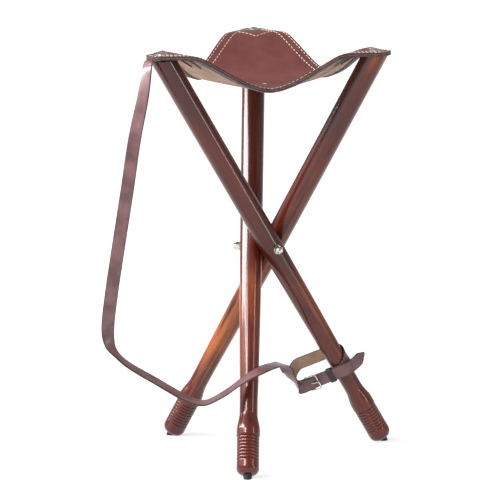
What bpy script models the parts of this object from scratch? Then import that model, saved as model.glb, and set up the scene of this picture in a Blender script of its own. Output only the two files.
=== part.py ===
"""Folding tripod stool: three turned legs on a three-way bolt, a leather seat and a buckled carrying strap."""

import math

import bmesh
import bpy
import numpy as np
from mathutils import Matrix, Vector

for leftover in list(bpy.data.objects):
    bpy.data.objects.remove(leftover, do_unlink=True)

# Stance, in metres and degrees
SPLAY = math.radians(31.1)
LEG_ABOVE = 0.3204
LEG_BELOW = 0.333
ARM_OFFSET = 0.020
FOOT_STANDOFF = 0.0058

# Clearances
REST_GAP = 0.0002
TURN_GAP = 0.0003
PATCH_GAP = 0.0002

# Leg radii and the places along the leg, measured from its wooden end
LEG_SIDES = 28
TOP_RADIUS = 0.01625
HUB_RADIUS = 0.0156
MIDDLE_RADIUS = 0.0143
MIDDLE_AT = 0.213
NECK_RADIUS = 0.0125
NECK_FROM = 0.088
NECK_TO = 0.104
SWELL_RADIUS = 0.0161
SWELL_AT = 0.062
BAND_RADIUS = 0.0155
END_ROUND = 0.0088
GROOVE_COUNT = 8
GROOVE_PITCH = 0.0047
GROOVE_DEPTH = 0.0011
GROOVE_FROM = 0.018

# Foot tips
TIP_RADIUS = 0.0064
TIP_END_RADIUS = 0.0040
SHANK_RADIUS = 0.0040
SHANK_LENGTH = 0.014

# Crossing hardware
ROD_RADIUS = 0.0030
BOSS_RADIUS = 0.0038
FLAT_DEPTH = 0.0010
WASHER_RADIUS = 0.0060
WASHER_THICKNESS = 0.0012
NUT_ACROSS = 0.0100
NUT_BODY = 0.0050
DOME_HEIGHT = 0.0046
THREAD_IN_NUT = 0.0056

# Seat
LEATHER = 0.0032
PATCH = 0.0020
CORNER_BEYOND = 0.021
CORNER_HALF = 0.018
CORNER_FLAT = 0.0036
CORNER_ROUND = 0.014
EDGE_MIDDLE = 0.110
DISH_SLOPE = 0.693
DISH_FROM = 0.0304
DISH_EASE_TOP = 0.0098
DISH_BOTTOM_AT = 0.0588
DISH_EASE_LOW = 0.040
VALLEY = 0.011
PATCH_APEX = 0.041
PATCH_ENDS = 0.023
PATCH_HALF = 0.030
PATCH_BORDER = 0.0145
PATCH_JOIN = 0.0004

# Seat screws
SCREW_RADIUS = 0.00225
SCREW_DEPTH = 0.0175
HEAD_RADIUS = 0.0042
CUP_RADIUS = 0.0080
CUP_HEIGHT = 0.0024
SLOT_WIDTH = 0.0010

# Strap, loop and buckle
STRAP_WIDTH = 0.018
STRAP_THICK = 0.0022
LOOP_AT = 0.2065
LOOP_REACH = 0.056
LOOP_RISE = 0.020
LOOP_TURN = math.radians(50)
WIRE = 0.0011
BUCKLE_BAR_AT = 0.050
BUCKLE_LENGTH = 0.017
TONGUE_RADIUS = 0.0009
TONGUE_EYE_WALL = 0.0008
TONGUE_EYE_WIDTH = 0.0030
KEEPER_AT = 0.013
KEEPER_WIDTH = 0.0085
KEEPER_WALL = 0.0014
TAIL_POINT = 0.016
STRAP_TUCK = 0.004

UP = Vector((0, 0, 1))
HUB_HEIGHT = (LEG_BELOW + FOOT_STANDOFF) * math.cos(SPLAY)
LEG_TOP_Z = HUB_HEIGHT + LEG_ABOVE * math.cos(SPLAY)
TOP_RUN = LEG_ABOVE * math.sin(SPLAY)
TOP_REACH = math.hypot(ARM_OFFSET, TOP_RUN)
SEAT_Z = LEG_TOP_Z + REST_GAP + PATCH + PATCH_GAP + LEATHER
ARMS = {"left": -60.0, "right": 60.0, "rear": 180.0}

stool = bpy.data.collections.new("tripod_hunting_stool")
cutters = bpy.data.collections.new("cutters")
bpy.context.scene.collection.children.link(stool)
bpy.context.scene.collection.children.link(cutters)
cutters.hide_render = True


def material(name, colour, roughness, metallic=0.0):
    made = bpy.data.materials.new(name)
    made.use_nodes = True
    shader = made.node_tree.nodes["Principled BSDF"]
    shader.inputs["Base Color"].default_value = (*colour, 1)
    shader.inputs["Roughness"].default_value = roughness
    shader.inputs["Metallic"].default_value = metallic
    return made


WOOD = material("leg_wood", (0.16, 0.045, 0.025), 0.2)
BLACK = material("tip_rubber", (0.02, 0.02, 0.02), 0.6)
NICKEL = material("nickel", (0.75, 0.74, 0.72), 0.22, 1.0)
HIDE = material("seat_hide", (0.23, 0.085, 0.075), 0.45)
SUEDE = material("patch_suede", (0.27, 0.25, 0.28), 0.9)
STRAP = material("strap_hide", (0.06, 0.03, 0.032), 0.4)
KEEPER = material("keeper_hide", (0.012, 0.011, 0.012), 0.5)


def cutter(obj):
    stool.objects.unlink(obj)
    cutters.objects.link(obj)
    obj.hide_render = True
    obj.display_type = "WIRE"
    return obj


def mesh_object(name, points, faces, look, place=None):
    mesh = bpy.data.meshes.new(name)
    mesh.from_pydata([tuple(p) for p in points], [], faces)
    shape = bmesh.new()
    shape.from_mesh(mesh)
    bmesh.ops.recalc_face_normals(shape, faces=shape.faces)
    shape.to_mesh(mesh)
    shape.free()
    obj = bpy.data.objects.new(name, mesh)
    mesh.materials.append(look)
    stool.objects.link(obj)
    obj.matrix_world = place or Matrix()
    return obj


def turned(name, profile, look, place, sides, ring=False):
    """A profile of radius and height, from top to bottom on its outer side, turned round the local Z."""
    mesh = bpy.data.meshes.new(name)
    count = len(profile)
    edges = [(i, i + 1) for i in range(count - 1)]
    if ring:
        edges.append((count - 1, 0))
    mesh.from_pydata([(r, 0, z) for r, z in profile], edges, [])
    mesh.materials.append(look)
    obj = bpy.data.objects.new(name, mesh)
    stool.objects.link(obj)
    obj.matrix_world = place
    screw = obj.modifiers.new("turn", "SCREW")
    screw.steps = sides
    screw.render_steps = sides
    screw.use_merge_vertices = True
    screw.merge_threshold = 1e-5
    screw.use_smooth_shade = False
    return obj


def rod(name, radius, start, end, look, sides=16):
    """A plain round bar between two points along the local Z of its own placing."""
    start, end = Vector(start), Vector(end)
    place = Matrix.Translation(start) @ (end - start).to_track_quat("Z", "Y").to_matrix().to_4x4()
    length = (end - start).length
    return turned(name, [(0, length), (radius, length), (radius, 0), (0, 0)], look, place, sides)


def block(name, low, high, look, place=None):
    x0, y0, z0 = low
    x1, y1, z1 = high
    points = [(x, y, z) for x in (x0, x1) for y in (y0, y1) for z in (z0, z1)]
    faces = [(0, 1, 3, 2), (4, 6, 7, 5), (0, 4, 5, 1), (2, 3, 7, 6), (0, 2, 6, 4), (1, 5, 7, 3)]
    return mesh_object(name, points, faces, look, place)


def combine(obj, tool, operation="DIFFERENCE"):
    step = obj.modifiers.new(tool.name, "BOOLEAN")
    step.operation = operation
    step.object = tool
    step.solver = "EXACT"
    return step


def frame(origin, x, y, z):
    place = Matrix((x, y, z)).transposed().to_4x4()
    place.translation = origin
    return place


def lofted(name, rings, look, place=None, closed=False):
    """Skins equal rings of points, with a flat cap at each end unless the rings join up."""
    rings = [np.asarray(r, float) for r in rings]
    n, m = len(rings[0]), len(rings)
    points = np.concatenate(rings)
    faces = []
    for i in range(m if closed else m - 1):
        j = (i + 1) % m
        for k in range(n):
            after = (k + 1) % n
            faces.append((i * n + k, i * n + after, j * n + after, j * n + k))
    if not closed:
        faces.append(tuple(range(n)))
        faces.append(tuple((m - 1) * n + k for k in range(n)))
    return mesh_object(name, points, faces, look, place)


def ribbon(name, route, across, widths, thick, look, closed=False):
    """A flat strap: its middle line, the direction across it at each point, and its width there."""
    route, across = np.asarray(route, float), np.asarray(across, float)
    if closed:
        along = np.roll(route, -1, 0) - np.roll(route, 1, 0)
    else:
        along = np.gradient(route, axis=0)
    along /= np.linalg.norm(along, axis=1)[:, None]
    across = across - along * (across * along).sum(1)[:, None]
    across /= np.linalg.norm(across, axis=1)[:, None]
    out = np.cross(along, across)
    half = np.broadcast_to(np.asarray(widths, float) / 2, len(route))[:, None]
    corners = [across * half * a + out * thick / 2 * b for a, b in ((1, 1), (-1, 1), (-1, -1), (1, -1))]
    rings = [[route[i] + c[i] for c in corners] for i in range(len(route))]
    return lofted(name, rings, look, closed=closed)


def eased(points, per_span):
    """A smooth curve through the points, each span split evenly."""
    points = np.asarray(points, float)
    padded = np.vstack([2 * points[0] - points[1], points, 2 * points[-1] - points[-2]])
    out = []
    for i in range(len(points) - 1):
        a, b, c, d = padded[i : i + 4]
        for t in np.arange(per_span) / per_span:
            out.append(
                0.5 * (2 * b + (c - a) * t + (2 * a - 5 * b + 4 * c - d) * t**2 + (3 * b - a - 3 * c + d) * t**3)
            )
    return np.array([*out, points[-1]])


# The legs' own directions: e along the bolt's arm, t towards the leg's top, d up the leg
class LegLine:
    def __init__(self, side):
        turn = math.radians(ARMS[side])
        self.e = Vector((math.cos(turn), math.sin(turn), 0))
        self.t = Vector((math.cos(turn - math.pi / 2), math.sin(turn - math.pi / 2), 0))
        self.d = math.cos(SPLAY) * UP + math.sin(SPLAY) * self.t
        self.hub = ARM_OFFSET * self.e + HUB_HEIGHT * UP
        self.place = frame(self.hub, self.d.cross(self.e) * -1, self.e, self.d)
        self.top = self.hub + LEG_ABOVE * self.d
        self.out = Vector((self.top.x, self.top.y, 0)).normalized()
        self.side_way = UP.cross(self.out)

    def seat_point(self, s, w, z=0.0):
        return self.out * s + self.side_way * w + UP * z


LINES = {side: LegLine(side) for side in ARMS}


def leg_radius(below_hub):
    """The leg's radius between its neck and its top, at a distance below the crossing."""
    at = LEG_BELOW - below_hub
    places = (NECK_TO, MIDDLE_AT, LEG_BELOW, LEG_BELOW + LEG_ABOVE)
    return float(np.interp(at, places, (NECK_RADIUS, MIDDLE_RADIUS, HUB_RADIUS, TOP_RADIUS)))


def leg_profile():
    """Radius and height from the top to the wooden end, then up the socket for the foot tip."""
    over = TOP_RADIUS * math.tan(SPLAY) + 0.004
    rows = [(0, LEG_BELOW + LEG_ABOVE + over), (TOP_RADIUS, LEG_BELOW + LEG_ABOVE + over)]
    rows += [(HUB_RADIUS, LEG_BELOW), (MIDDLE_RADIUS, MIDDLE_AT), (NECK_RADIUS, NECK_TO), (NECK_RADIUS, NECK_FROM)]
    for share in (0.25, 0.5, 0.75, 1.0):
        ease = share * share * (3 - 2 * share)
        rows.append((NECK_RADIUS + (SWELL_RADIUS - NECK_RADIUS) * ease, NECK_FROM + (SWELL_AT - NECK_FROM) * share))
    last = GROOVE_FROM + GROOVE_COUNT * GROOVE_PITCH
    for g in range(GROOVE_COUNT):
        rows.append((BAND_RADIUS, last - g * GROOVE_PITCH))
        rows.append((BAND_RADIUS - GROOVE_DEPTH, last - (g + 0.5) * GROOVE_PITCH))
    rows.append((BAND_RADIUS, GROOVE_FROM))
    for step in range(5):
        turn = step * math.pi / 8
        rows.append(
            (BAND_RADIUS - END_ROUND * (1 - math.cos(turn)), END_ROUND * (1 - math.sin(turn)))
        )
    socket = SHANK_RADIUS + TURN_GAP
    depth = SHANK_LENGTH + TURN_GAP
    rows += [(socket, 0), (socket, depth), (0, depth)]
    return [(r, h - LEG_BELOW) for r, h in rows]


FLAT_AT = ARM_OFFSET + HUB_RADIUS - FLAT_DEPTH
BORE = ROD_RADIUS + TURN_GAP
for side, line in LINES.items():
    leg = turned(f"leg_{side}", leg_profile(), WOOD, line.place, LEG_SIDES)
    top_z = LEG_TOP_Z - (STRAP_THICK + REST_GAP if side == "left" else 0)
    lid = block(f"cut_top_{side}", (-0.05, -0.05, 0), (0.05, 0.05, 0.05), WOOD,
                Matrix.Translation((line.top.x, line.top.y, top_z)))
    combine(leg, cutter(lid))
    centre = HUB_HEIGHT * UP
    bore = rod(f"cut_bore_{side}", BORE, centre - 0.01 * line.e, centre + 0.06 * line.e, NICKEL)
    combine(leg, cutter(bore))
    flat = rod(f"cut_flat_{side}", WASHER_RADIUS + 0.0008, centre + FLAT_AT * line.e,
               centre + (FLAT_AT + 0.01) * line.e, NICKEL, 20)
    combine(leg, cutter(flat))
    pilot_foot = Vector((line.top.x, line.top.y, SEAT_Z - LEATHER - PATCH - SCREW_DEPTH - 0.002))
    pilot = rod(f"cut_pilot_{side}", SCREW_RADIUS + TURN_GAP, pilot_foot, pilot_foot + 0.04 * UP, NICKEL, 12)
    combine(leg, cutter(pilot))

    end_place = line.place @ Matrix.Translation((0, 0, -LEG_BELOW))
    tip = turned(
        f"foot_tip_{side}",
        [
            (0, SHANK_LENGTH),
            (SHANK_RADIUS, SHANK_LENGTH),
            (SHANK_RADIUS, -REST_GAP),
            (TIP_RADIUS, -REST_GAP),
            (TIP_END_RADIUS, -0.015),
            (0, -0.015),
        ],
        BLACK,
        end_place,
        20,
    )
    floor = block(f"cut_floor_{side}", (-0.03, -0.03, -0.05), (0.03, 0.03, 0), BLACK,
                  Matrix.Translation((end_place.translation.x, end_place.translation.y, 0)))
    combine(tip, cutter(floor))

# The three-way bolt, its washers and its cap nuts
WASHER_FROM = FLAT_AT + REST_GAP
NUT_FROM = WASHER_FROM + WASHER_THICKNESS + REST_GAP
bolt_end = NUT_FROM + THREAD_IN_NUT
centre = HUB_HEIGHT * UP
boss_rows = [(BOSS_RADIUS * math.sin(a), BOSS_RADIUS * math.cos(a)) for a in np.linspace(0, math.pi, 9)]
boss_rows[0] = (0, BOSS_RADIUS)
boss_rows[-1] = (0, -BOSS_RADIUS)
bolt = turned("three_way_bolt", boss_rows, NICKEL, Matrix.Translation(centre), 18)
for side, line in LINES.items():
    arm = rod(f"bolt_arm_{side}", ROD_RADIUS, centre + 0.0005 * line.e, centre + bolt_end * line.e, NICKEL)
    combine(bolt, cutter(arm), "UNION")
    look = line.e.to_track_quat("Z", "Y").to_matrix().to_4x4()
    inner = ROD_RADIUS + TURN_GAP
    turned(
        f"leg_washer_{side}",
        [
            (WASHER_RADIUS, WASHER_THICKNESS),
            (WASHER_RADIUS, 0),
            (inner, 0),
            (inner, WASHER_THICKNESS),
        ],
        NICKEL,
        Matrix.Translation(centre + WASHER_FROM * line.e) @ look,
        24,
        ring=True,
    )
    rings = []
    turns = np.arange(24) * 2 * math.pi / 24
    from_flat = np.abs((turns + math.pi / 6) % (math.pi / 3) - math.pi / 6)
    hexagon = NUT_ACROSS / 2 / np.cos(from_flat)
    dome = NUT_ACROSS / 2 * 0.92
    for reach, z in ((hexagon, 0), (hexagon, NUT_BODY)):
        rings.append(np.stack([reach * np.cos(turns), reach * np.sin(turns), np.full(24, z)], 1))
    for lift in (0.0, 0.4, 0.7, 0.9, 0.98):
        wide = dome * math.sqrt(1 - lift * lift)
        z = NUT_BODY + 0.0003 + DOME_HEIGHT * lift
        rings.append(np.stack([wide * np.cos(turns), wide * np.sin(turns), np.full(24, z)], 1))
    nut = lofted(f"cap_nut_{side}", rings, NICKEL, Matrix.Translation(centre + NUT_FROM * line.e) @ look)
    nut_bore = rod(f"cut_nut_{side}", inner, centre + (NUT_FROM - 0.002) * line.e,
                   centre + (bolt_end + TURN_GAP) * line.e, NICKEL)
    combine(nut, cutter(nut_bore))


# Seat: one sheet with three arms, level at the corners and dished between them
def ramp(distance, start, end, ease_start, ease_end):
    """Height fallen after a distance, at unit slope between start and end, eased in and out."""
    def bend(x, ease):
        return np.where(x <= -ease, 0, np.where(x >= ease, x, (x + ease) ** 2 / (4 * ease)))
    return bend(distance - start, ease_start) - bend(distance - end, ease_end)


def seat_drop(x, y):
    reach = np.stack([x * line.out.x + y * line.out.y for line in LINES.values()])
    s = VALLEY * np.log(np.exp(reach / VALLEY).sum(0))
    inward = TOP_REACH - s
    return DISH_SLOPE * ramp(inward, DISH_FROM, TOP_REACH - DISH_BOTTOM_AT, DISH_EASE_TOP, DISH_EASE_LOW)


CORNER_END = TOP_REACH + CORNER_BEYOND
SIDE_FROM = CORNER_END - CORNER_ROUND
EDGE_RUN = SIDE_FROM * math.sin(math.pi / 3) - CORNER_HALF * 0.5
EDGE_RISE = SIDE_FROM * 0.5 + CORNER_HALF * math.sin(math.pi / 3) - EDGE_MIDDLE


def half_edge(count):
    """Points (s, w) from the middle of a side to a corner's tip, on the side of positive w."""
    along = np.linspace(0, 1, count) ** 0.9
    away = EDGE_MIDDLE + EDGE_RISE * along**2
    x = EDGE_RUN * along
    rows = [(0.5 * a + math.sin(math.pi / 3) * b, math.sin(math.pi / 3) * a - 0.5 * b) for a, b in zip(away, x)]
    for turn in (0.38, 0.76, 1.14, math.pi / 2):
        wide = CORNER_FLAT + (CORNER_HALF - CORNER_FLAT) * math.cos(turn)
        rows.append((SIDE_FROM + CORNER_ROUND * math.sin(turn), wide))
    return np.array(rows)


outline = []
for side in ("left", "right", "rear"):
    line = LINES[side]
    half = half_edge(7)
    for s, w in [*[(s, -w) for s, w in half], (CORNER_END, 0.0), *half[::-1][:-1]]:
        outline.append(line.seat_point(s, w))
outline = np.array([(p.x, p.y) for p in outline])
rings = (0.24, 0.44, 0.60, 0.705, 0.79, 0.835, 0.88, 1.0)
flat_points = np.concatenate([[[0.0, 0.0]], *[outline * k for k in rings]])
heights = SEAT_Z - seat_drop(flat_points[:, 0], flat_points[:, 1])
count = len(outline)
faces = [(0, 1 + k, 1 + (k + 1) % count) for k in range(count)]
for ring in range(len(rings) - 1):
    a = 1 + ring * count
    for k in range(count):
        after = (k + 1) % count
        faces += [(a + k, a + count + k, a + count + after), (a + k, a + count + after, a + after)]
seat_faces = faces
seat = mesh_object("seat_leather", np.column_stack([flat_points, heights]), faces, HIDE)
if seat.data.polygons[0].normal.z < 0:
    seat.data.flip_normals()
thicken = seat.modifiers.new("hide", "SOLIDIFY")
thicken.thickness = LEATHER
thicken.offset = -1
thicken.use_even_offset = True


def under_seat(depth):
    """The seat's points, each moved down to a depth below its top as the hide's own thickness is."""
    helper = mesh_object("layer", [v.co for v in seat.data.vertices], seat_faces, HIDE)
    if helper.data.polygons[0].normal.z < 0:
        helper.data.flip_normals()
    step = helper.modifiers.new("layer", "SOLIDIFY")
    step.thickness = depth
    step.offset = -1
    step.use_even_offset = True
    bpy.context.view_layer.update()
    made = helper.evaluated_get(bpy.context.evaluated_depsgraph_get()).to_mesh()
    points = [v.co.copy() for v in made.vertices][len(flat_points) : 2 * len(flat_points)]
    bpy.data.objects.remove(helper, do_unlink=True)
    return points


layer_top = under_seat(LEATHER + PATCH_GAP)
layer_low = under_seat(LEATHER + PATCH_GAP + PATCH)
columns = count // 3 + 1

# The patches' inner edge: a strip's width inside the seat's edge, and a shallow V at each corner
apex = TOP_REACH - PATCH_APEX
lean = (PATCH_APEX - PATCH_ENDS) / PATCH_HALF
sides = half_edge(25)[:25]
inward = np.gradient(sides, axis=0)
inward = np.stack([inward[:, 1], -inward[:, 0]], 1) / np.linalg.norm(inward, axis=1)[:, None]
inner = sides + PATCH_BORDER * inward
inner = inner[inner[:, 0] < apex + lean * inner[:, 1]]
beyond_join = inner[0] + (inner[0] - inner[1]) * 2
wide = EDGE_MIDDLE * 1.2
notch = [(-EDGE_MIDDLE / 2, -wide), *[(s, -w) for s, w in (beyond_join, *inner)], (apex, 0.0)]
notch += [*[(s, w) for s, w in (*inner[::-1], beyond_join)], (-EDGE_MIDDLE / 2, wide)]


def upright(name, line, plan):
    """A cutter with the given plan in a corner's own directions, from well under the seat to above it."""
    levels = [[line.seat_point(s, w, z) for s, w in plan] for z in (SEAT_Z - 0.15, SEAT_Z + 0.02)]
    return cutter(lofted(name, levels, SUEDE))


def patch_layer(layer, spots):
    """One face of a patch, its two ends drawn back a little from the middles of the sides."""
    grid = np.array([layer[spot] for spot in spots]).reshape(-1, columns, 3)
    for end, after in ((0, 1), (-1, -2)):
        along = grid[:, after] - grid[:, end]
        grid[:, end] += along * (PATCH_JOIN / 2 / np.linalg.norm(along, axis=1))[:, None]
    return grid.reshape(-1, 3)


patch_rings = range(2, len(rings))
for number, (side, line) in enumerate(LINES.items()):
    spots = [1 + r * count + (number * (columns - 1) + k) % count for r in patch_rings for k in range(columns)]
    top = patch_layer(layer_top, spots)
    low = patch_layer(layer_low, spots)
    total = len(spots)
    bands = len(patch_rings)
    faces = []
    for r in range(bands - 1):
        for k in range(columns - 1):
            a, b = r * columns + k, r * columns + k + 1
            c, d = b + columns, a + columns
            for x, y, z in ((a, d, c), (a, c, b)):
                faces += [(x, y, z), (total + z, total + y, total + x)]
    border = [(k, k + 1) for k in range(columns - 1)]
    border += [((bands - 1) * columns + k, (bands - 1) * columns + k + 1) for k in range(columns - 1)]
    border += [(r * columns, (r + 1) * columns) for r in range(bands - 1)]
    border += [((r + 1) * columns - 1, (r + 2) * columns - 1) for r in range(bands - 1)]
    faces += [(a, b, total + b, total + a) for a, b in border]
    patch = mesh_object(f"corner_patch_{side}", [*top, *low], faces, SUEDE)
    combine(patch, upright(f"cut_notch_{side}", line, notch))
    head = Vector((line.top.x, line.top.y, SEAT_Z))
    hole = rod(f"cut_hole_{side}", SCREW_RADIUS + TURN_GAP, head - 0.015 * UP, head + 0.01 * UP, NICKEL, 12)
    cutter(hole)
    combine(patch, hole)
    combine(seat, hole)
    on_seat = Matrix.Translation(head + REST_GAP * UP)
    throat = SCREW_RADIUS + 0.0006
    turned(
        f"cup_washer_{side}",
        [
            (HEAD_RADIUS + 0.0010, CUP_HEIGHT),
            (CUP_RADIUS - 0.0010, CUP_HEIGHT * 0.66),
            (CUP_RADIUS, 0),
            (throat, 0),
            (throat, 0.0005),
        ],
        NICKEL,
        on_seat,
        24,
        ring=True,
    )
    under = CUP_HEIGHT - 0.0004
    screw = turned(
        f"seat_screw_{side}",
        [
            (0, under + 0.0018),
            (HEAD_RADIUS * 0.62, under + 0.0015),
            (HEAD_RADIUS, under + 0.0004),
            (HEAD_RADIUS, under),
            (SCREW_RADIUS, under - 0.0017),
            (SCREW_RADIUS, -LEATHER - PATCH - SCREW_DEPTH + 0.004),
            (0, -LEATHER - PATCH - SCREW_DEPTH),
        ],
        NICKEL,
        on_seat,
        16,
    )
    slot = block(f"cut_slot_{side}", (-0.006, -SLOT_WIDTH / 2, under + 0.0007), (0.006, SLOT_WIDTH / 2, under + 0.004),
                 NICKEL, on_seat @ Matrix.Rotation(math.radians(ARMS[side] + 25), 4, "Z"))
    combine(screw, cutter(slot))

# The loop's own frame round the left leg: b along its near side, n outwards from it, d up the leg
left = LINES["left"]
m_hat = math.cos(SPLAY) * left.t - math.sin(SPLAY) * UP
loop_middle = left.hub - LOOP_AT * left.d
b_hat = math.cos(LOOP_TURN) * left.e - math.sin(LOOP_TURN) * m_hat
n_hat = math.sin(LOOP_TURN) * left.e + math.cos(LOOP_TURN) * m_hat
LOOP_INNER = leg_radius(LOOP_AT - STRAP_WIDTH / 2 - LOOP_RISE) + TURN_GAP
LOOP_OUTER = LOOP_INNER + STRAP_THICK
UNDER_BAR = LOOP_OUTER + REST_GAP + STRAP_THICK / 2
PIVOT_N = LOOP_OUTER + REST_GAP + WIRE
FREE_N = UNDER_BAR + STRAP_THICK / 2 + REST_GAP + WIRE
OVER_BAR = PIVOT_N + WIRE + TURN_GAP + STRAP_THICK / 2
FREE_AT = BUCKLE_BAR_AT - BUCKLE_LENGTH
loop_place = frame(loop_middle, b_hat, n_hat, -left.d)


def on_loop(b, n, d=0.0):
    return loop_middle + b * b_hat + n * n_hat + d * left.d


# The loop: a belt round the leg and an equal circle beside it, its far side higher up the leg
belt = []
middle = LOOP_INNER + STRAP_THICK / 2
for across_leg, first in ((0.0, -math.pi / 2), (-LOOP_REACH, math.pi / 2)):
    for turn in np.linspace(first, first + math.pi, 15):
        belt.append((across_leg + middle * math.cos(turn), middle * math.sin(turn)))
    onward = -LOOP_REACH if across_leg == 0 else LOOP_REACH
    for share in (0.2, 0.4, 0.6, 0.8):
        belt.append((across_leg + onward * share, middle * math.sin(first + math.pi)))
belt = [on_loop(b, n, LOOP_RISE * (middle - n) / (2 * middle)) for b, n in belt]
loop = ribbon("leg_loop", belt, [left.d] * len(belt), STRAP_WIDTH, STRAP_THICK, STRAP, closed=True)
half_slot = TONGUE_EYE_WIDTH / 2 + TURN_GAP
eye = WIRE + TURN_GAP + TONGUE_EYE_WALL
loop_slot = block(
    "cut_loop_slot",
    (-BUCKLE_BAR_AT - eye - 0.0006, LOOP_INNER - 0.004, -half_slot),
    (-BUCKLE_BAR_AT + eye + 0.0012, LOOP_OUTER + 0.002, half_slot),
    STRAP,
    loop_place,
)
combine(loop, cutter(loop_slot))

# Buckle frame: one bent wire, its pivot bar against the loop and its free bar over the strap
bar_half = STRAP_WIDTH / 2 + WIRE + 0.0008
corner = 0.0022
corners = [(-BUCKLE_BAR_AT, PIVOT_N, -1), (-BUCKLE_BAR_AT, PIVOT_N, 1), (-FREE_AT, FREE_N, 1), (-FREE_AT, FREE_N, -1)]
knots = []
for number, (b, n, sign) in enumerate(corners):
    here = Vector((b, n, sign * bar_half))
    before = Vector((*corners[number - 1][:2], corners[number - 1][2] * bar_half))
    after = corners[(number + 1) % 4]
    after = Vector((*after[:2], after[2] * bar_half))
    start = here + (before - here).normalized() * corner
    end = here + (after - here).normalized() * corner
    for share in (0.0, 0.33, 0.67, 1.0):
        knots.append((1 - share) ** 2 * start + 2 * share * (1 - share) * here + share * share * end)
wire = bpy.data.curves.new("buckle_frame", "CURVE")
wire.dimensions = "3D"
wire.bevel_depth = WIRE
wire.bevel_resolution = 2
spline = wire.splines.new("POLY")
spline.points.add(len(knots) - 1)
for point, knot in zip(spline.points, knots):
    point.co = (*on_loop(knot.x, knot.y, knot.z), 1)
spline.use_cyclic_u = True
wire.materials.append(NICKEL)
buckle = bpy.data.objects.new("buckle_frame", wire)
stool.objects.link(buckle)

# Tongue: an eye round the pivot bar and an arm that rests over the free bar
pivot = on_loop(-BUCKLE_BAR_AT, PIVOT_N)
tongue_place = frame(pivot, b_hat, n_hat, -left.d)
tongue = turned(
    "buckle_tongue",
    [
        (eye, TONGUE_EYE_WIDTH / 2),
        (eye, -TONGUE_EYE_WIDTH / 2),
        (WIRE + TURN_GAP, -TONGUE_EYE_WIDTH / 2),
        (WIRE + TURN_GAP, TONGUE_EYE_WIDTH / 2),
    ],
    NICKEL,
    tongue_place,
    20,
    ring=True,
)
rise = FREE_N + WIRE + TONGUE_RADIUS + TURN_GAP - PIVOT_N
lean = math.atan2(rise, BUCKLE_LENGTH) + 0.02
arm_way = math.cos(lean) * b_hat + math.sin(lean) * n_hat
arm = rod("tongue_arm", TONGUE_RADIUS, pivot + arm_way * (eye - TONGUE_EYE_WALL * 0.5),
          pivot + arm_way * (BUCKLE_LENGTH + 0.0035), NICKEL, 12)
combine(tongue, cutter(arm), "UNION")

# Keeper: a small band round the loop and the strap
keeper_low = LOOP_INNER - REST_GAP
keeper_high = UNDER_BAR + STRAP_THICK / 2 + REST_GAP
keeper_half = STRAP_WIDTH / 2 + TURN_GAP
keeper = block(
    "strap_keeper",
    (-KEEPER_AT - KEEPER_WIDTH / 2, keeper_low - KEEPER_WALL, -keeper_half - KEEPER_WALL),
    (-KEEPER_AT + KEEPER_WIDTH / 2, keeper_high + KEEPER_WALL, keeper_half + KEEPER_WALL),
    KEEPER,
    loop_place,
)
keeper_hole = block(
    "cut_keeper",
    (-KEEPER_AT - KEEPER_WIDTH, keeper_low, -keeper_half),
    (-KEEPER_AT + KEEPER_WIDTH, keeper_high, keeper_half),
    KEEPER,
    loop_place,
)
combine(keeper, cutter(keeper_hole))

# Strap: clamped on the left leg's top, hanging to a low bend, then through the buckle to its pointed tail
strap_z = LEG_TOP_Z - STRAP_THICK / 2
clamp = Vector((left.top.x, left.top.y, strap_z))
lip = clamp + left.out * (CORNER_BEYOND - STRAP_TUCK)
entry = on_loop(-BUCKLE_BAR_AT - 0.0152, OVER_BAR - 0.0217, 0.0065)
# Share of the way from the lip to the buckle, the distance from that straight line, and the way across
HANGING = (
    (0.00, (-0.0030, -0.0023, -0.0006), (0.60, -0.80, 0.00)),
    (0.00, (-0.0054, -0.0046, -0.0046), (0.62, -0.78, 0.00)),
    (0.02, (-0.0104, -0.0132, -0.0059), (0.72, -0.69, 0.00)),
    (0.06, (-0.0233, -0.0260, -0.0213), (0.88, -0.47, 0.03)),
    (0.13, (-0.0480, -0.0428, -0.0437), (0.97, -0.22, 0.10)),
    (0.21, (-0.0737, -0.0577, -0.0742), (1.00, -0.05, 0.15)),
    (0.30, (-0.1022, -0.0712, -0.1007), (1.00, 0.05, 0.16)),
    (0.38, (-0.1286, -0.0822, -0.1324), (1.00, 0.08, 0.16)),
    (0.44, (-0.1462, -0.0898, -0.1529), (0.96, 0.25, 0.10)),
    (0.47, (-0.1502, -0.0938, -0.1640), (0.72, 0.68, 0.00)),
    (0.50, (-0.1460, -0.0976, -0.1668), (0.22, 0.97, 0.10)),
    (0.52, (-0.1323, -0.1008, -0.1727), (0.05, 0.97, 0.22)),
    (0.57, (-0.1078, -0.1099, -0.1692), (0.00, 0.95, 0.30)),
    (0.62, (-0.0791, -0.1199, -0.1676), (0.00, 0.95, 0.30)),
    (0.65, (-0.0575, -0.1259, -0.1623), (0.00, 0.98, 0.20)),
    (0.68, (-0.0371, -0.1327, -0.1367), (-0.05, 0.97, 0.22)),
    (0.72, (-0.0197, -0.1442, -0.0995), (-0.18, 0.96, 0.18)),
    (0.75, (-0.0064, -0.1460, -0.0742), (-0.48, 0.85, 0.22)),
    (0.78, (0.0035, -0.1299, -0.0561), (-0.88, 0.42, 0.20)),
    (0.84, (0.0040, -0.0895, -0.0338), (-0.97, 0.08, 0.20)),
    (0.90, (0.0005, -0.0473, -0.0157), (-0.93, -0.05, 0.34)),
)
flat_way = left.side_way
knots = [(clamp - left.out * 0.012, flat_way), (clamp, flat_way), (lip - left.out * 0.008, flat_way), (lip, flat_way)]
first = lip
for share, off, way in HANGING:
    knots.append((first.lerp(entry, share) + Vector(off), Vector(way)))
TAIL = ((-0.002, 0.0), (0.010, -0.0009), (0.020, -0.0060), (0.028, -0.0150), (0.035, -0.0300))
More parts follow.
